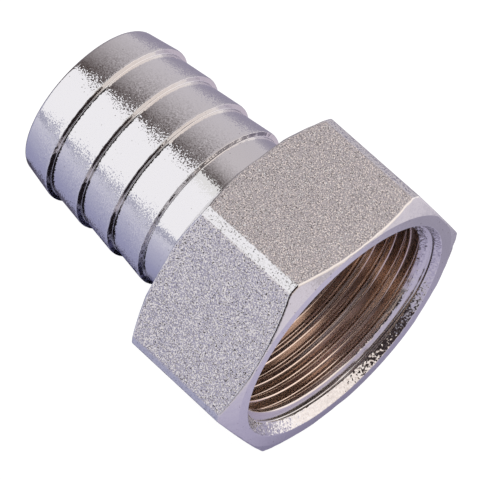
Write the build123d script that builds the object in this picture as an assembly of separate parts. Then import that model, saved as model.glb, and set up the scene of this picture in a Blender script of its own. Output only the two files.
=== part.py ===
from build123d import *
import math
import os

os.makedirs("parts", exist_ok=True)

# A nickel-plated brass hose tail in one piece: a hexagon with a female pipe thread,
# a short plain neck and four barbs that a hose is pushed over.
# Millimetres. X runs along the fitting and leaves it through the threaded mouth,
# Z is up with one flat of the hexagon underneath, and the origin is the centre
# of the mouth on the thread's axis.

# hexagon
across_flats = 30.0
hex_length = 14.4
hex_corner_round = 1.45
mouth_chamfer_angle = 23.5      # from the mouth face, turned round the corners
back_chamfer_angle = 29.0       # from the back face
back_face_step = 0.2            # how far the back face reaches past the flats' circle

# female pipe thread, 3/4 parallel
thread_major = 26.441
thread_bore = 24.66             # drilled before the thread was cut, so the crests are flat
thread_pitch = 1.814
thread_flank_angle = 27.5       # half the thread's included angle
thread_start = 0.85             # depth of the groove's middle on the +Y side of the mouth
thread_depth = 12.1             # from the mouth to the sealing shoulder
relief_diameter = 27.0          # plain groove that the thread runs out into
relief_length = 1.6
lead_in_diameter = 27.3         # countersink at the mouth
lead_in_angle = 35.0            # from the axis
shoulder_fillet = 0.4

# waterway
waterway_diameter = 14.5
waterway_tip_chamfer = 0.35

# hose tail
neck_length = 5.1               # plain part between the hexagon and the last barb's foot
root_diameter = 18.9            # at the foot of each barb, and the neck
crest_diameter = 20.0
tip_diameter = 18.5
barb_count = 4
barb_pitch = 4.58
crest_land = 0.3                # short cylinder on top of each barb
barb_step_length = 0.38         # the steep side, which looks toward the hexagon
first_ramp_length = 4.2         # from the open tip to the end of the first crest
tip_round = 0.35

flat_radius = across_flats / 2
corner_radius = flat_radius / math.cos(math.radians(30))
back = -hex_length
last_crest = back - neck_length - barb_step_length
first_crest = last_crest - (barb_count - 1) * barb_pitch
tip = first_crest - first_ramp_length


def hexagon_bar():
    outline = RegularPolygon(flat_radius, 6, major_radius=False)
    outline = fillet(outline.vertices(), hex_corner_round)
    plane = Plane(origin=(0, 0, 0), x_dir=(0, 1, 0), z_dir=(-1, 0, 0))
    return extrude(plane * outline, amount=hex_length)


def spun(points):
    face = make_face(Plane.XZ * Polyline(*points, close=True))
    return revolve(face, Axis.X)


def turned_envelope():
    # what the lathe leaves of the bar: a flat ring at the mouth, a cone round
    # its corners, and the same on the back
    past = corner_radius + 1
    front_drop = (past - flat_radius) * math.tan(math.radians(mouth_chamfer_angle))
    back_circle = flat_radius + back_face_step
    back_drop = (past - back_circle) * math.tan(math.radians(back_chamfer_angle))
    return spun([
        (0, 0),
        (0, flat_radius),
        (-front_drop, past),
        (back + back_drop, past),
        (back, back_circle),
        (back, 0),
    ])


def tail():
    # the spun outside of the neck and the barbs, from inside the hexagon to the tip
    crest = crest_diameter / 2
    root = root_diameter / 2
    points = [(back + 1, 0), (back + 1, root)]
    for index in range(barb_count):
        edge = last_crest - index * barb_pitch
        points.append((edge + barb_step_length, root))
        points.append((edge, crest))
        points.append((edge - crest_land, crest))
    points.append((tip, tip_diameter / 2))
    points.append((tip, 0))
    solid = spun(points)
    rim = solid.edges().filter_by(GeomType.CIRCLE).sort_by(Axis.X)[0]
    return fillet(rim, tip_round)


def waterway():
    # the bore that the thread is cut in, with its countersink and relief, then the
    # plain hole through the tail
    bore = thread_bore / 2
    hole = waterway_diameter / 2
    mouth = lead_in_diameter / 2
    slope = math.tan(math.radians(lead_in_angle))
    solid = spun([
        (1, 0),
        (1, mouth + slope),
        ((bore - mouth) / slope, bore),
        (relief_length - thread_depth, bore),
        (relief_length - thread_depth, relief_diameter / 2),
        (-thread_depth, relief_diameter / 2),
        (-thread_depth, 0),
    ])
    floor = solid.edges().filter_by(GeomType.CIRCLE).group_by(Axis.X)[0]
    solid = fillet(floor, shoulder_fillet)
    bevel = waterway_tip_chamfer
    solid += spun([
        (-thread_depth + 1, 0),
        (-thread_depth + 1, hole),
        (tip + bevel, hole),
        (tip - 1, hole + bevel + 1),
        (tip - 1, 0),
    ])
    return solid


def thread_groove():
    # one right-hand groove, wound from the middle of the relief to a pitch past the
    # mouth and trimmed to what lies outside the bore
    flank = math.tan(math.radians(thread_flank_angle))
    major = thread_major / 2
    bore = thread_bore / 2
    apex = major + thread_pitch / 12 / flank        # where the flanks would meet
    overlap = bore - 0.12                           # the cutter starts inside the bore

    def corner(radius, side):
        return (radius, 0, side * (apex - radius) * flank)

    cutter = make_face(Polyline(corner(overlap, -1), corner(major, -1), corner(major, 1),
                                corner(overlap, 1), close=True))
    deep = thread_depth - relief_length / 2
    helix = Helix(pitch=thread_pitch, height=deep + thread_pitch, radius=bore)
    wound = sweep(cutter, path=helix, is_frenet=True)
    turn = math.tau * (thread_start - deep) / thread_pitch
    plane = Plane(origin=(-deep, 0, 0), x_dir=(0, math.cos(turn), math.sin(turn)), z_dir=(1, 0, 0))
    wall = spun([
        (3 * thread_pitch, bore),
        (3 * thread_pitch, major + 1),
        (-thread_depth, major + 1),
        (-thread_depth, bore),
    ])
    return plane * wound & wall


fitting = (hexagon_bar() & turned_envelope()) + tail() - waterway() - thread_groove()
fitting.label = "hose_barb_tail"
fitting.color = Color(0.74, 0.73, 0.72)
export_step(fitting, "parts/hose_barb_tail.step")
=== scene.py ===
import math

import bmesh
import bpy
from mathutils import Matrix, Vector, noise


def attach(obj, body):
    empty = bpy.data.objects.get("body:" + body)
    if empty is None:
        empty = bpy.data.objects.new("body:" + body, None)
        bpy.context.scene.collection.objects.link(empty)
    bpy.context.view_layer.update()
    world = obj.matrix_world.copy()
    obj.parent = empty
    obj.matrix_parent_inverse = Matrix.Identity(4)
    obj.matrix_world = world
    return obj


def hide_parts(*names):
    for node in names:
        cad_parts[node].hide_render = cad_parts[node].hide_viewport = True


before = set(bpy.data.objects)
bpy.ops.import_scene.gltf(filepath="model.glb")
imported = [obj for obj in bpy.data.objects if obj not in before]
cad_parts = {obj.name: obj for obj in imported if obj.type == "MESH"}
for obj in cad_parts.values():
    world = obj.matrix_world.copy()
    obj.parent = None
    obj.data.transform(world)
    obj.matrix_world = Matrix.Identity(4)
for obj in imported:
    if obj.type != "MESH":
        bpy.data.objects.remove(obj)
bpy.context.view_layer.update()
print("frame loaded")

turns = 288  # steps round the axis, the same for every turned form
weld = 0.0005  # mm, points nearer than this are one
seam = 0.002  # mm, the same where two parts meet
sharpFrom = 50  # degrees between two faces
arcStep = 0.057  # mm of rounding to a segment

# sizes in millimetres, as the solid has them: X runs out of the threaded mouth, Z is up
hexagon = {
    "acrossFlats": 30.0,
    "length": 14.4,
    "cornerCut": 0.69,  # how far each flat stops short of the sharp corner
    "cornerSoft": 0.16,
    "mouthConeAngle": 23.5,  # from the mouth face
    "backConeAngle": 29.0,
    "backStep": 0.2,  # the back face reaches this far past the flats' circle
    "mouthEdge": 0.2,
    "backEdge": 0.14,
    "edgeBand": 1.2,  # the last ring of faces on the flats
    "mouthJoin": 0.3,  # the mouth's face stops this far outside the countersink
    "backJoin": 0.6,  # and the back face this far outside the neck
    "ragged": 0.09,  # how far the turned edges wander
    "longWave": 0.9,  # waves to a mm
    "shortWave": 2.3,
    "shortShare": 0.7,
}
thread = {
    "major": 26.441,
    "bore": 24.66,  # drilled before the thread was cut, so the crests are flat
    "pitch": 1.814,
    "included": 55.0,
    "grooveRound": 0.478,
    "crestSoft": 0.13,
    "crestEdgeAtZero": -1.492,  # X of a crest's mouth-side edge at angle 0
    "start": -0.3,
    "end": -10.9,
    "leadIn": 27.3,
    "leadInAngle": 35.0,  # from the axis
    "leadInSoft": 0.08,
    "rimDepth": 0.27,  # the countersink's plain rim, before the wound part
    "reliefDiameter": 27.0,
    "reliefEnd": -12.1,
    "reliefRound": 0.2,
    "torn": 0.09,  # how ragged the tap left the countersink's inner edge
    "tornFrom": 0.35,  # mm below the mouth
    "tornOver": 0.4,
    "tornWave": 2.6,  # waves to a mm
}
tail = {
    "neck": 5.1,
    "root": 18.9,
    "crest": 20.0,
    "tip": 18.5,
    "barbs": 4,
    "pitch": 4.58,
    "land": 0.25,
    "step": 0.38,  # from the end of the neck to the first crest
    "stepLean": 0.09,  # how far a barb's steep side runs along X
    "firstRamp": 4.2,
    "tipRound": 0.35,
    "waterway": 14.5,
    "waterwayBevel": 0.35,
    "waterwayRound": 0.12,
    "crestSoft": 0.06,
    "crestWear": 0.05,  # how far the crests' edges wander
    "wearReach": 0.1,
    "wearWave": 1.9,  # waves to a mm
    "footRound": 0.12,
    "neckRound": 0.35,
}


def linearFromHex(text):
    channels = [int(text[first:first + 2], 16) / 255 for first in (1, 3, 5)]
    bent = [c / 12.92 if c <= 0.04045 else ((c + 0.055) / 1.055) ** 2.4 for c in channels]
    return (*bent, 1.0)


def addNode(tree, kind, settings=None, links=None):
    node = tree.nodes.new(kind)
    for name, value in (settings or {}).items():
        if isinstance(name, int) or name in node.inputs:
            node.inputs[name].default_value = value
        else:
            setattr(node, name, value)
    for name, source in (links or {}).items():
        tree.links.new(source, node.inputs[name])
    return node


def newMaterial(name):
    material = bpy.data.materials.new(name)
    material.use_nodes = True
    material.node_tree.nodes.clear()
    return material, material.node_tree


def angleOf(point):
    return math.atan2(point.z, point.y)


def radiusOf(point):
    return math.hypot(point.y, point.z)


def place(vert, x, radius, angle):
    vert.co = Vector((x, radius * math.cos(angle), radius * math.sin(angle)))


def wire(bm, corners):
    # an open profile in the XY plane: x, radius and how much that corner is rounded
    verts = [bm.verts.new((x, radius, 0)) for x, radius, size in corners]
    for pair in zip(verts, verts[1:]):
        bm.edges.new(pair)
    for size in sorted({corner[2] for corner in corners if corner[2]}):
        chosen = [vert for vert, corner in zip(verts, corners) if corner[2] == size]
        steps = max(2, round(size / arcStep))
        bmesh.ops.bevel(bm, geom=chosen, offset=size, offset_type='OFFSET', segments=steps,
                        profile=0.5, affect='VERTICES', clamp_overlap=True, material=-1)


def spinFull(bm):
    bmesh.ops.spin(bm, geom=bm.verts[:] + bm.edges[:], cent=(0, 0, 0), axis=(1, 0, 0), dvec=(0, 0, 0),
                   angle=math.tau, steps=turns, use_merge=True)


# waterway, open tip, barbs and neck in one profile, from the relief behind the thread
def spinTail(bm):
    back = -hexagon["length"]
    crest = tail["crest"] / 2
    root = tail["root"] / 2
    hole = tail["waterway"] / 2
    relief = thread["reliefDiameter"] / 2
    lastCrest = back - tail["neck"] - tail["step"]
    tip = lastCrest - (tail["barbs"] - 1) * tail["pitch"] - tail["firstRamp"]
    edges = [lastCrest - index * tail["pitch"] for index in range(tail["barbs"])]
    corners = [
        (thread["end"], relief, 0),
        (thread["reliefEnd"], relief, thread["reliefRound"]),
        (thread["reliefEnd"], hole, thread["reliefRound"]),
        (tip + tail["waterwayBevel"], hole, tail["waterwayRound"]),
        (tip, hole + tail["waterwayBevel"], tail["waterwayRound"]),
        (tip, tail["tip"] / 2, tail["tipRound"]),
    ]
    for edge in reversed(edges):
        corners += [
            (edge - tail["land"], crest, tail["crestSoft"]),
            (edge, crest, tail["crestSoft"]),
            (edge + tail["stepLean"], root, tail["footRound"]),
        ]
    corners += [(back, root, tail["neckRound"]), (back, root + hexagon["backJoin"], 0)]
    wire(bm, corners)
    ramps = [e for e in bm.edges if e.calc_length() > 2]
    bmesh.ops.subdivide_edges(bm, edges=ramps, cuts=3)
    spinFull(bm)
    reach = tail["wearReach"]
    for vert in bm.verts:
        if radiusOf(vert.co) > crest - reach and min(abs(vert.co.x - edge) for edge in edges) < reach:
            wear = tail["crestWear"] * noise.noise(vert.co * tail["wearWave"])
            place(vert, vert.co.x + wear, radiusOf(vert.co) - abs(wear) / 2, angleOf(vert.co))


# the pipe thread: one profile wound a full turn while it moves one pitch
def windThread(bm):
    pitch = thread["pitch"]
    half = math.tan(math.radians(thread["included"] / 2))
    sharp = pitch / 2 / half
    apex = thread["major"] / 2 + sharp / 6
    bore = thread["bore"] / 2
    land = 2 * (bore - (apex - sharp)) * half
    corners = []
    edge = thread["crestEdgeAtZero"] + 2 * pitch
    while edge > thread["end"] - 3 * pitch:
        corners += [
            (edge, bore, thread["crestSoft"]),
            (edge - land, bore, thread["crestSoft"]),
            (edge - land / 2 - pitch / 2, apex, thread["grooveRound"]),
        ]
        edge -= pitch
    wire(bm, corners)
    flanks = [e for e in bm.edges if e.calc_length() > pitch * 0.3]
    bmesh.ops.subdivide_edges(bm, edges=flanks, cuts=3)
    bmesh.ops.spin(bm, geom=bm.verts[:] + bm.edges[:], cent=(0, 0, 0), axis=(1, 0, 0),
                   dvec=(pitch / turns, 0, 0), angle=math.tau, steps=turns, use_merge=False)
    bmesh.ops.remove_doubles(bm, verts=bm.verts[:], dist=weld)
    for side, x in (("clear_outer", thread["start"]), ("clear_inner", thread["end"])):
        bmesh.ops.bisect_plane(bm, geom=bm.verts[:] + bm.edges[:] + bm.faces[:], dist=0.0001,
                               plane_co=(x, 0, 0), plane_no=(1, 0, 0), **{side: True})
    slope = math.tan(math.radians(thread["leadInAngle"]))
    for vert in bm.verts:
        countersink = thread["leadIn"] / 2 + vert.co.x * slope
        if radiusOf(vert.co) < countersink:
            deep = min(1.0, max(0.0, -vert.co.x - thread["tornFrom"]) / thread["tornOver"])
            tear = thread["torn"] * deep * noise.noise(vert.co * thread["tornWave"])
            place(vert, vert.co.x, countersink + tear, angleOf(vert.co))


def ragged(angle, radius, seed):
    across = math.cos(angle) * radius
    up = math.sin(angle) * radius
    coarse = noise.noise(Vector((across, up, seed)) * hexagon["longWave"])
    fine = noise.noise(Vector((across, up, seed + 9)) * hexagon["shortWave"])
    return hexagon["ragged"] * (coarse + hexagon["shortShare"] * fine)


# six flats and cut corners, whose ends are drawn in to the turned cones and faces
def hexagonShell(bm):
    flat = hexagon["acrossFlats"] / 2
    corner = flat / math.cos(math.radians(30))
    nudge = 0.001  # radians, so that a point at angle 0 always sorts first
    turn = Matrix(((0, 0, 1, -hexagon["length"] / 2), (0, 1, 0, 0), (1, 0, 0, 0), (0, 0, 0, 1)))
    bmesh.ops.create_circle(bm, cap_ends=False, segments=6, radius=corner, matrix=turn)
    for size, segments in ((hexagon["cornerCut"], 1), (hexagon["cornerSoft"], 3)):
        bmesh.ops.bevel(bm, geom=bm.verts[:], offset=size, offset_type='OFFSET', segments=segments,
                        profile=0.5, affect='VERTICES', clamp_overlap=True, material=-1)
    # a sixth of the turns on each side, as the turned forms have: a corner has 8 points and gets 3 cuts,
    # and the flat gets the rest
    for low, high, cuts in ((0.5, 2, 3), (5, 20, turns // 6 - 8 - 3)):
        edges = [e for e in bm.edges if low < e.calc_length() < high]
        bmesh.ops.subdivide_edges(bm, edges=edges, cuts=cuts)
    outline = sorted(((angleOf(v.co) + nudge) % math.tau, radiusOf(v.co)) for v in bm.verts)
    base = bm.edges[:]

    def grow(edges, spot, even=False):
        made = bmesh.ops.extrude_edge_only(bm, edges=edges)["geom"]
        verts = [g for g in made if isinstance(g, bmesh.types.BMVert)]
        verts.sort(key=lambda v: (angleOf(v.co) + nudge) % math.tau)
        for index, vert in enumerate(verts):
            angle, rim = outline[index]
            angle -= nudge
            x, radius = spot(rim, angle)
            place(vert, x, radius, index * math.tau / len(verts) if even else angle)
        grown = set(verts)
        return [g for g in made if isinstance(g, bmesh.types.BMEdge) and all(v in grown for v in g.verts)]

    for end, side, coneAngle, step, soft, inside in (
            (0.0, 1, hexagon["mouthConeAngle"], 0.0, hexagon["mouthEdge"],
             thread["leadIn"] / 2 + hexagon["mouthJoin"]),
            (-hexagon["length"], -1, hexagon["backConeAngle"], hexagon["backStep"], hexagon["backEdge"],
             tail["root"] / 2 + hexagon["backJoin"])):
        circle = flat + step
        slope = math.tan(math.radians(coneAngle))

        def face(radius):
            return end - side * max(0.0, radius - circle) * slope

        def curved(share):
            # a soft edge between the flat and the cone, as a quadratic arc
            def spot(rim, angle):
                before = Vector((face(rim) - side * soft, rim))
                peak = Vector((face(rim), rim))
                after = Vector((face(rim - soft), rim - soft))
                point = before.lerp(peak, share).lerp(peak.lerp(after, share), share)
                return point.x + min(0.0, side * ragged(angle, rim, side * 5)) * side, point.y
            return spot

        edges = grow(base, lambda rim, angle: (face(rim) - side * hexagon["edgeBand"], rim))
        for share in (0.0, 0.33, 0.67, 1.0):
            edges = grow(edges, curved(share))
        edges = grow(edges, lambda rim, angle: (end, min(rim - soft - 0.01, circle)))
        grow(edges, lambda rim, angle: (end, inside), even=True)


def countersinkRim(bm):
    radius = thread["leadIn"] / 2
    depth = thread["rimDepth"]
    inner = radius - depth * math.tan(math.radians(thread["leadInAngle"]))
    wire(bm, [
        (0.0, radius + hexagon["mouthJoin"], 0),
        (0.0, radius, thread["leadInSoft"]),
        (-depth, inner, 0),
    ])
    spinFull(bm)


def joinPart(bm, maker):
    part = bmesh.new()
    maker(part)
    mesh = bpy.data.meshes.new("loose")
    part.to_mesh(mesh)
    part.free()
    bm.from_mesh(mesh)
    bpy.data.meshes.remove(mesh)


def loopAt(bm, x, lowRadius, highRadius):
    def inside(vert):
        return abs(vert.co.x - x) < seam and lowRadius < radiusOf(vert.co) < highRadius
    return [e for e in bm.edges if e.is_boundary and all(inside(v) for v in e.verts)]


# what tells the finishes apart, in mm and degrees; a lean is the X part of a face's normal
zones = {
    "flatLean": 0.05,
    "flatDepth": 0.01,
    "cornerAngle": 12,  # either side of a corner
    "stepLean": 0.7,
    "footLean": 0.1,  # near a barb's foot its rounding counts as well
    "footDepth": 0.25,  # below the crests
    "stepsFrom": 1.0,  # behind the hexagon
    "countersinkDepth": 0.02,
    "boreInside": 0.1,  # the countersink's edge
    "boreFrom": 0.05,  # below the mouth
}
# the order of the material slots
surfaces = ("turned", "blasted", "cut", "burr", "satin", "corner", "step")


def surfaceOf(face):
    centre = face.calc_center_median()
    radius = radiusOf(centre)
    slope = math.tan(math.radians(thread["leadInAngle"]))
    fromCountersink = abs(radius - thread["leadIn"] / 2 - centre.x * slope)
    fromCorner = abs((math.degrees(angleOf(face.normal)) + 30) % 60 - 30)
    nearFoot = radius < tail["crest"] / 2 - zones["footDepth"]
    onBarbs = radius > tail["root"] / 2 and centre.x < -hexagon["length"] - zones["stepsFrom"]
    if onBarbs and face.normal.x > (zones["footLean"] if nearFoot else zones["stepLean"]):
        return "step"
    if radius > hexagon["acrossFlats"] / 2 - zones["flatDepth"] and abs(face.normal.x) < zones["flatLean"]:
        return "corner" if fromCorner < zones["cornerAngle"] else "blasted"
    if centre.x < thread["reliefEnd"]:
        return "turned"
    if fromCountersink < zones["countersinkDepth"]:
        return "burr"
    if radius < thread["leadIn"] / 2 - zones["boreInside"] and centre.x < -zones["boreFrom"]:
        return "cut"
    return "satin"


def shadeEvenly(mesh):
    # large faces keep their own normals beside rounded edges; in mm, as faces in metres are too small for it
    shaped = bpy.data.objects.new("in millimetres", mesh)
    bpy.context.scene.collection.objects.link(shaped)
    weighted = shaped.modifiers.new("even shading", 'WEIGHTED_NORMAL')
    weighted.keep_sharp = True
    weighted.weight = 80
    even = bpy.data.meshes.new_from_object(shaped.evaluated_get(bpy.context.evaluated_depsgraph_get()))
    bpy.data.objects.remove(shaped)
    bpy.data.meshes.remove(mesh)
    return even


def buildFitting():
    bm = bmesh.new()
    for maker in (spinTail, windThread, hexagonShell, countersinkRim):
        joinPart(bm, maker)
    bmesh.ops.remove_doubles(bm, verts=bm.verts[:], dist=seam)
    rim = thread["leadIn"] / 2
    wall = thread["reliefDiameter"] / 2 - 0.01
    for first, second in (
            (loopAt(bm, -thread["rimDepth"], rim - 1, rim), loopAt(bm, thread["start"], rim - 1, rim)),
            (loopAt(bm, thread["end"], wall - 2, wall), loopAt(bm, thread["end"], wall, wall + 1))):
        bmesh.ops.bridge_loops(bm, edges=first + second)
    bmesh.ops.dissolve_degenerate(bm, edges=bm.edges[:], dist=weld)
    bmesh.ops.recalc_face_normals(bm, faces=bm.faces[:])
    openEdges = [e for e in bm.edges if not e.is_manifold]
    volume = round(bm.calc_volume(), 1)
    print("fitting: open edges", len(openEdges), "faces", len(bm.faces), "volume mm3", volume)
    flat = hexagon["acrossFlats"] / 2
    for edge in bm.edges:
        # the ring where the mouth's face meets its cone stays crisp
        ringEdge = all(abs(v.co.x) < 0.003 and abs(radiusOf(v.co) - flat) < 0.02 for v in edge.verts)
        edge.smooth = edge.calc_face_angle(0.0) < math.radians(sharpFrom) and not ringEdge
    for face in bm.faces:
        face.smooth = True
        face.material_index = surfaces.index(surfaceOf(face))
    mesh = bpy.data.meshes.new("in millimetres")
    bm.to_mesh(mesh)
    bm.free()
    body = shadeEvenly(mesh)
    body.transform(Matrix.Scale(0.001, 4))
    body.name = "hose_barb_tail_body"
    piece = bpy.data.objects.new("hose_barb_tail_body", body)
    bpy.context.scene.collection.objects.link(piece)
    return piece


# grain, pits, lines and patch are sizes in mm, tilt is how far the dents lean; the real dents and lines are
# finer than a pixel, so they are drawn as coarse as they need to show
finishes = {
    "plating": "#DDDBDB",
    "pit": "#5A5048",  # dulled brass in a pinhole of the plating
    "pitSpread": 0.6,  # lower: fewer and smaller pits
    "pitEdge": (-0.5, -0.4),
    "pitBright": 0.3,
    "patch": 2.4,  # some patches are smoother than others
    "patchRough": (0.7, 1.5),  # times the finish's own roughness
    "calmTilt": 0.35,  # of the finish's own tilt, where the skin is calm
    "turned": {"called": "nickel plated brass, turned bright",
               "grain": 0.15, "tilt": 0.62, "rough": 0.07, "pits": 0.4,
               "calmAt": 9.45, "fullAt": 9.85},  # mm from the axis: the skin is smoothest at the barbs' feet
    "satin": {"called": "nickel plated brass, turned satin",
              "grain": 0.20, "tilt": 0.22, "rough": 0.16, "pits": 0.5, "calmAt": 0, "fullAt": 0.1},
    "step": {"called": "nickel plated brass, barbs' steep sides",
             "grain": 0.15, "tilt": 0.15, "rough": 0.06, "pits": 0.4, "calmAt": 0, "fullAt": 0.1},
    "corner": {"called": "nickel plated brass, rubbed corners",
               "grain": 0.18, "tilt": 1.1, "rough": 0.18, "pits": 0.4, "calmAt": 0, "fullAt": 0.1},
    "burr": {"called": "nickel plated brass, torn countersink",
             "grain": 0.24, "tilt": 1.0, "rough": 0.14, "pits": 0.4, "calmAt": 0, "fullAt": 0.1},
    "blasted": {"called": "nickel plated brass, shot blasted",
                "grain": 0.14, "tilt": 1.5, "rough": 0.2, "plating": "#D1CCCB"},
    "cut": {"called": "thin nickel plating, tapped brass",
            "lines": 0.24, "tilt": 0.9, "rough": 0.2,
            "brass": "#EBD8CB", "brassFrom": 1.5, "brassAt": 3.2},  # mm below the mouth
}


def fromAxis(tree, where):
    apart = addNode(tree, "ShaderNodeSeparateXYZ", links={"Vector": where})
    side = addNode(tree, "ShaderNodeCombineXYZ", links={"X": apart.outputs["Y"], "Y": apart.outputs["Z"]})
    radius = addNode(tree, "ShaderNodeVectorMath", {"operation": 'LENGTH'}, {0: side.outputs["Vector"]})
    return apart.outputs["X"], radius.outputs["Value"]


def leaning(tree, swing, settings=None, links=None):
    # the surface's own normal, leaned by a swing from 0 to 1 round its middle, times the Scale given
    centred = addNode(tree, "ShaderNodeVectorMath", {"operation": 'SUBTRACT', 1: (0.5, 0.5, 0.5)}, {0: swing})
    lean = addNode(tree, "ShaderNodeVectorMath", {"operation": 'SCALE', **(settings or {})},
                   {0: centred.outputs["Vector"], **(links or {})})
    outward = addNode(tree, "ShaderNodeNewGeometry").outputs["Normal"]
    moved = addNode(tree, "ShaderNodeVectorMath", {"operation": 'ADD'},
                    {0: outward, 1: lean.outputs["Vector"]})
    unit = addNode(tree, "ShaderNodeVectorMath", {"operation": 'NORMALIZE'}, {0: moved.outputs["Vector"]})
    return unit.outputs["Vector"]


# nickel plating over turned brass: a mirror with an uneven skin, so what it mirrors breaks up, and dark pits
def turnedNickel(values):
    material, tree = newMaterial(values["called"])
    where = addNode(tree, "ShaderNodeTexCoord").outputs["Object"]
    tilt = addNode(tree, "ShaderNodeMapRange",
                   {"From Min": values["calmAt"] / 1000, "From Max": values["fullAt"] / 1000,
                    "To Min": values["tilt"] * finishes["calmTilt"], "To Max": values["tilt"]},
                   {"Value": fromAxis(tree, where)[1]})
    skin = addNode(tree, "ShaderNodeTexNoise",
                   {"Scale": 1000 / values["grain"], "Detail": 1.0, "Roughness": 0.5}, {"Vector": where})
    patches = addNode(tree, "ShaderNodeTexNoise", {"Scale": 1000 / finishes["patch"], "Detail": 3.0},
                      {"Vector": where})
    smoother, rougher = finishes["patchRough"]
    rough = addNode(tree, "ShaderNodeMapRange",
                    {"From Min": 0.35, "From Max": 0.7,
                     "To Min": values["rough"] * smoother, "To Max": values["rough"] * rougher},
                    {"Value": patches.outputs["Fac"]})
    spots = addNode(tree, "ShaderNodeTexVoronoi", {"Scale": 1000 / values["pits"]}, {"Vector": where})
    chance = addNode(tree, "ShaderNodeSeparateXYZ", links={"Vector": spots.outputs["Color"]})
    beyond = addNode(tree, "ShaderNodeMath", {"operation": 'MULTIPLY_ADD', 1: -finishes["pitSpread"]},
                     {0: chance.outputs["X"], 2: spots.outputs["Distance"]})
    pitted, whole = finishes["pitEdge"]
    clean = addNode(tree, "ShaderNodeMapRange",
                    {"From Min": pitted, "From Max": whole, "To Min": finishes["pitBright"], "To Max": 1.0},
                    {"Value": beyond.outputs["Value"]})
    colour = addNode(tree, "ShaderNodeMix",
                     {"data_type": 'RGBA', 6: linearFromHex(finishes["pit"]),
                      7: linearFromHex(finishes["plating"])},
                     {0: clean.outputs["Result"]})
    normal = leaning(tree, skin.outputs["Color"], links={"Scale": tilt.outputs["Result"]})
    shader = addNode(tree, "ShaderNodeBsdfPrincipled", {"Metallic": 1.0},
                     {"Base Color": colour.outputs[2], "Roughness": rough.outputs["Result"],
                      "Normal": normal})
    addNode(tree, "ShaderNodeOutputMaterial", links={"Surface": shader.outputs["BSDF"]})
    return material


# the same plating over shot-blasted hot-pressed brass: every dent tilts its own way and scatters the light
def blastedNickel(values):
    material, tree = newMaterial(values["called"])
    where = addNode(tree, "ShaderNodeTexCoord").outputs["Object"]
    dents = addNode(tree, "ShaderNodeTexNoise", {"Scale": 1000 / values["grain"], "Detail": 0.0},
                    {"Vector": where})
    normal = leaning(tree, dents.outputs["Color"], {"Scale": values["tilt"]})
    shader = addNode(tree, "ShaderNodeBsdfPrincipled",
                     {"Base Color": linearFromHex(values["plating"]), "Metallic": 1.0,
                      "Roughness": values["rough"]},
                     {"Normal": normal})
    addNode(tree, "ShaderNodeOutputMaterial", links={"Surface": shader.outputs["BSDF"]})
    return material


# the plating thins out down the hole until the brass shows red, and the tap leaves fine lines
def cutNickel(values):
    material, tree = newMaterial(values["called"])
    where = addNode(tree, "ShaderNodeTexCoord").outputs["Object"]
    depth, radius = fromAxis(tree, where)
    along = addNode(tree, "ShaderNodeCombineXYZ", links={"X": depth, "Y": radius})
    lines = addNode(tree, "ShaderNodeTexNoise", {"Scale": 1000 / values["lines"], "Detail": 3.0},
                    {"Vector": along.outputs["Vector"]})
    swing = addNode(tree, "ShaderNodeCombineXYZ", {"Y": 0.5, "Z": 0.5}, {"X": lines.outputs["Fac"]})
    worn = addNode(tree, "ShaderNodeMapRange",
                   {"From Min": -values["brassFrom"] / 1000, "From Max": -values["brassAt"] / 1000},
                   {"Value": depth})
    colour = addNode(tree, "ShaderNodeMix",
                     {"data_type": 'RGBA', 6: linearFromHex(finishes["plating"]),
                      7: linearFromHex(values["brass"])},
                     {0: worn.outputs["Result"]})
    normal = leaning(tree, swing.outputs["Vector"], {"Scale": values["tilt"]})
    shader = addNode(tree, "ShaderNodeBsdfPrincipled", {"Metallic": 1.0, "Roughness": values["rough"]},
                     {"Base Color": colour.outputs[2], "Normal": normal})
    addNode(tree, "ShaderNodeOutputMaterial", links={"Surface": shader.outputs["BSDF"]})
    return material


fitting = buildFitting()
for surface in surfaces:
    finish = {"blasted": blastedNickel, "cut": cutNickel}.get(surface, turnedNickel)
    fitting.data.materials.append(finish(finishes[surface]))
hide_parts("hose_barb_tail")
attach(fitting, "root")
print("fitting made")

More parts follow.
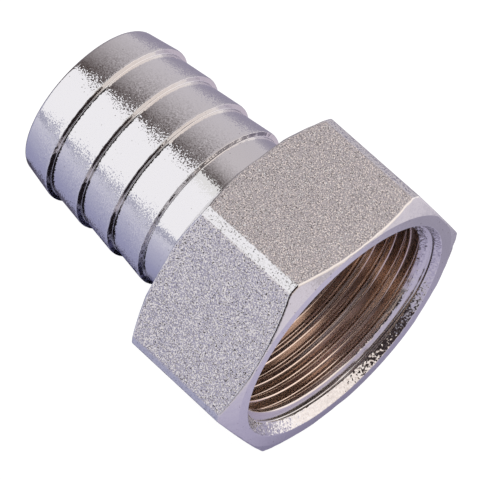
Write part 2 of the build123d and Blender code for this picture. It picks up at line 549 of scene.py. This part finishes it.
# what the metal mirrors: azimuths and elevations in degrees, and the corners' colours in the order low-left,
# low-right, high-left, high-right; gaps and the table's lengths are in mm, distance and reaches in metres
studio = {
    "centre": (-0.0189, 0.0, 0.0),
    "distance": 0.5,
    "floor": {"gap": 0.1, "reach": 3, "colour": "#F2F1F4", "white": 0.94, "shade": "#7C7C7C"},
    "table": {"gap": 0.05, "reach": 0.6, "halfLength": 18.9, "halfWidth": 13.0,
              "rough": 0.16, "strength": 1.15, "ior": 1.45,
              "glossBehind": -4.0, "glossBlend": 3,  # it glows in front of this X and mirrors behind it
              "gloss": ((-46, "#BCBCD0"), (-25, "#AEAFC6"), (-15, "#9A9BB9"), (0, "#9796B2"),
                        (20, "#BAB8CB")),  # along Y: painted shade, darker close to the fitting, as the painted shadow
              "tones": ((0, "#86819B"), (3, "#ABA5C0"), (10, "#BFB9D2"), (40, "#E6E0EA")),  # outward: painted contact shade, darkest at the fitting and paler away from it
              # painted shadow of the fitting, along Y
              "shadow": ((13, "#FFFFFF"), (24, "#C9C9C9"), (32, "#D0D0D0"), (52, "#FAFAFA"))},
    "tableEnd": {"azimuths": (181, 272), "elevations": (-3, 2.5), "strength": 1.0,
                 "colours": ("#BEBFD2", "#BEBFD2", "#BEBFD2", "#BEBFD2")},
    "softLeft": {"azimuths": (184, 272), "elevations": (2.5, 64), "strength": 1.2,
                 "colours": ("#FBFBFF", "#FBFBFF", "#FBFBFF", "#FBFBFF")},
    "softRight": {"azimuths": (-12, 84), "elevations": (-2, 80), "strength": 1.45,
                  "colours": ("#BCAAA0", "#FFFCFC", "#FFFCF8", "#F6E6DA")},
    "greyBack": {"azimuths": (84, 124), "elevations": (-2, 88), "strength": 1.0,
                 "colours": ("#D0CBD2", "#DAD5DC", "#DCD2CC", "#DCD6D8")},
    "brownTop": {"azimuths": (124, 184), "elevations": (-2, 88), "strength": 1.0,
                 "colours": ("#DAD5DC", "#3E2C24", "#DCD6D8", "#382822")},
    "darkFront": {"azimuths": (-88, -12), "elevations": (-2, 80), "strength": 1.0,
                  "colours": ("#1C181C", "#4A4042", "#1A1414", "#443A38")},
}


def addCard(name):
    values = studio[name]
    bm = bmesh.new()
    bmesh.ops.create_grid(bm, x_segments=24, y_segments=16, size=1)
    tones = bm.verts.layers.float_color.new("tone")
    lowLeft, lowRight, highLeft, highRight = [Vector(linearFromHex(text)) for text in values["colours"]]
    left, right = values["azimuths"]
    low, high = values["elevations"]
    for vert in bm.verts:
        across = (vert.co.x + 1) / 2
        up = (vert.co.y + 1) / 2
        vert[tones] = lowLeft.lerp(lowRight, across).lerp(highLeft.lerp(highRight, across), up)
        azimuth = math.radians(left + across * (right - left))
        elevation = math.radians(low + up * (high - low))
        aim = Vector((math.cos(elevation) * math.cos(azimuth), math.cos(elevation) * math.sin(azimuth),
                      math.sin(elevation)))
        vert.co = Vector(studio["centre"]) + aim * studio["distance"]
    mesh = bpy.data.meshes.new(name)
    bm.to_mesh(mesh)
    bm.free()
    material, tree = newMaterial(name + " light")
    tone = addNode(tree, "ShaderNodeAttribute", {"attribute_name": "tone"})
    glow = addNode(tree, "ShaderNodeEmission", {"Strength": values["strength"]},
                   {"Color": tone.outputs["Color"]})
    addNode(tree, "ShaderNodeOutputMaterial", links={"Surface": glow.outputs["Emission"]})
    mesh.materials.append(material)
    card = bpy.data.objects.new(name, mesh)
    card.visible_camera = False
    bpy.context.scene.collection.objects.link(card)


def addSheet(name, values, material):
    # a level sheet, a little below the flat that the fitting lies on
    height = -hexagon["acrossFlats"] / 2000 - values["gap"] / 1000
    bm = bmesh.new()
    bmesh.ops.create_grid(bm, x_segments=1, y_segments=1, size=values["reach"])
    bmesh.ops.translate(bm, vec=(studio["centre"][0], 0, height), verts=bm.verts[:])
    mesh = bpy.data.meshes.new(name)
    bm.to_mesh(mesh)
    bm.free()
    mesh.materials.append(material)
    sheet = bpy.data.objects.new(name, mesh)
    bpy.context.scene.collection.objects.link(sheet)
    return sheet


def coloursAlong(tree, stops, source):
    # colours along a length in metres, the stops in mm
    first = stops[0][0]
    last = stops[-1][0]
    share = addNode(tree, "ShaderNodeMapRange", {"From Min": first / 1000, "From Max": last / 1000},
                    {"Value": source})
    ramp = addNode(tree, "ShaderNodeValToRGB", links={"Fac": share.outputs["Result"]})
    elements = ramp.color_ramp.elements
    for index, (distance, colour) in enumerate(stops):
        spot = (distance - first) / (last - first)
        stop = elements[index] if index < 2 else elements.new(spot)
        stop.position = spot
        stop.color = linearFromHex(colour)
    return ramp.outputs["Color"]


# matt near-white board: it lights the fitting as a board does, and is seen as plain white with a soft shadow
def addFloor():
    values = studio["floor"]
    material, tree = newMaterial("pale floor")
    ray = addNode(tree, "ShaderNodeLightPath")
    either = addNode(tree, "ShaderNodeMath", {"operation": 'MAXIMUM'},
                     {0: ray.outputs["Is Camera Ray"], 1: ray.outputs["Is Glossy Ray"]})
    seen = addNode(tree, "ShaderNodeMath", {"operation": 'MAXIMUM'},
                   {0: either.outputs["Value"], 1: ray.outputs["Is Transmission Ray"]})
    matt = addNode(tree, "ShaderNodeBsdfDiffuse", {"Color": linearFromHex(values["colour"])})
    white = addNode(tree, "ShaderNodeEmission", {"Strength": values["white"]})
    shade = addNode(tree, "ShaderNodeBsdfDiffuse", {"Color": linearFromHex(values["shade"])})
    shown = addNode(tree, "ShaderNodeAddShader",
                    links={0: white.outputs["Emission"], 1: shade.outputs["BSDF"]})
    mixed = addNode(tree, "ShaderNodeMixShader",
                    links={0: seen.outputs["Value"], 1: matt.outputs["BSDF"], 2: shown.outputs["Shader"]})
    addNode(tree, "ShaderNodeOutputMaterial", links={"Surface": mixed.outputs["Shader"]})
    addSheet("floor", values, material)


# glossy lilac card: only the metal sees it; its glow is a painted lit table, with painted shade close to the
# fitting and a painted shadow of the fitting along Y, and it is paler away from the fitting
def addTable():
    values = studio["table"]
    material, tree = newMaterial("lilac table card")
    where = addNode(tree, "ShaderNodeTexCoord").outputs["Object"]
    apart = addNode(tree, "ShaderNodeSeparateXYZ", links={"Vector": where})
    clear = []
    for axis, middle, reach in (
            ("X", studio["centre"][0], values["halfLength"]), ("Y", 0.0, values["halfWidth"])):
        across = addNode(tree, "ShaderNodeMath", {"operation": 'SUBTRACT', 1: middle},
                         {0: apart.outputs[axis]})
        size = addNode(tree, "ShaderNodeMath", {"operation": 'ABSOLUTE'}, {0: across.outputs["Value"]})
        clear.append(addNode(tree, "ShaderNodeMath", {"operation": 'SUBTRACT', 1: reach / 1000},
                             {0: size.outputs["Value"]}))
    away = addNode(tree, "ShaderNodeMath", {"operation": 'MAXIMUM'},
                   {0: clear[0].outputs["Value"], 1: clear[1].outputs["Value"]})
    # the glow's colour: painted contact shade near the fitting, times a painted shadow of the fitting along Y
    tones = coloursAlong(tree, values["tones"], away.outputs["Value"])
    shadow = coloursAlong(tree, values["shadow"], apart.outputs["Y"])
    shaded = addNode(tree, "ShaderNodeMix", {"data_type": 'RGBA', "blend_type": 'MULTIPLY', 0: 1.0},
                     {6: tones, 7: shadow})
    glow = addNode(tree, "ShaderNodeEmission", {"Strength": values["strength"]},
                   {"Color": shaded.outputs[2]})
    # the mirror's colour is darker close to the fitting: painted shade
    gloss = addNode(tree, "ShaderNodeBsdfPrincipled", {"Metallic": 1.0, "Roughness": values["rough"]},
                    {"Base Color": coloursAlong(tree, values["gloss"], apart.outputs["Y"])})
    edgeOn = addNode(tree, "ShaderNodeFresnel", {"IOR": values["ior"]})
    faceOn = addNode(tree, "ShaderNodeMath", {"operation": 'SUBTRACT', 0: 1.0}, {1: edgeOn.outputs["Fac"]})
    front = addNode(tree, "ShaderNodeMapRange",
                    {"From Min": (values["glossBehind"] - values["glossBlend"]) / 1000,
                     "From Max": (values["glossBehind"] + values["glossBlend"]) / 1000},
                    {"Value": apart.outputs["X"]})
    lit = addNode(tree, "ShaderNodeMath", {"operation": 'MULTIPLY'},
                  {0: front.outputs["Result"], 1: faceOn.outputs["Value"]})
    both = addNode(tree, "ShaderNodeMixShader",
                   links={0: lit.outputs["Value"], 1: gloss.outputs["BSDF"], 2: glow.outputs["Emission"]})
    addNode(tree, "ShaderNodeOutputMaterial", links={"Surface": both.outputs["Shader"]})
    card = addSheet("tableCard", values, material)
    card.visible_camera = False
    card.visible_diffuse = False
    card.visible_shadow = False
    card.visible_transmission = False


def addWorld():
    world = bpy.data.worlds.new("studio")
    world.use_nodes = True
    world.node_tree.nodes.clear()
    plain = addNode(world.node_tree, "ShaderNodeBackground", {"Color": (1, 1, 1, 1), "Strength": 1.0})
    addNode(world.node_tree, "ShaderNodeOutputWorld", links={"Surface": plain.outputs["Background"]})
    bpy.context.scene.world = world


view = {
    "place": (0.14003, -0.19474, 0.35358),
    "forward": (-0.35873, 0.44975, -0.81794),
    "up": (-0.62608, 0.53401, 0.56821),
    "lens": 318.6,  # mm, as the sensor
    "sensor": 36.0,
    "near": 0.01,
    "far": 20,
}


def addCamera():
    data = bpy.data.cameras.new("camera")
    data.lens = view["lens"]
    data.sensor_width = view["sensor"]
    data.clip_start = view["near"]
    data.clip_end = view["far"]
    camera = bpy.data.objects.new("camera", data)
    bpy.context.scene.collection.objects.link(camera)
    forward = Vector(view["forward"]).normalized()
    right = forward.cross(Vector(view["up"])).normalized()
    up = right.cross(forward)
    turned = Matrix((right, up, -forward)).transposed().to_4x4()
    camera.matrix_world = Matrix.Translation(Vector(view["place"])) @ turned
    bpy.context.scene.camera = camera


for cardName in ("tableEnd", "softLeft", "softRight", "greyBack", "brownTop", "darkFront"):
    addCard(cardName)
addFloor()
addTable()
addWorld()
addCamera()
bpy.context.scene.view_settings.view_transform = 'Standard'
print("studio and camera set")
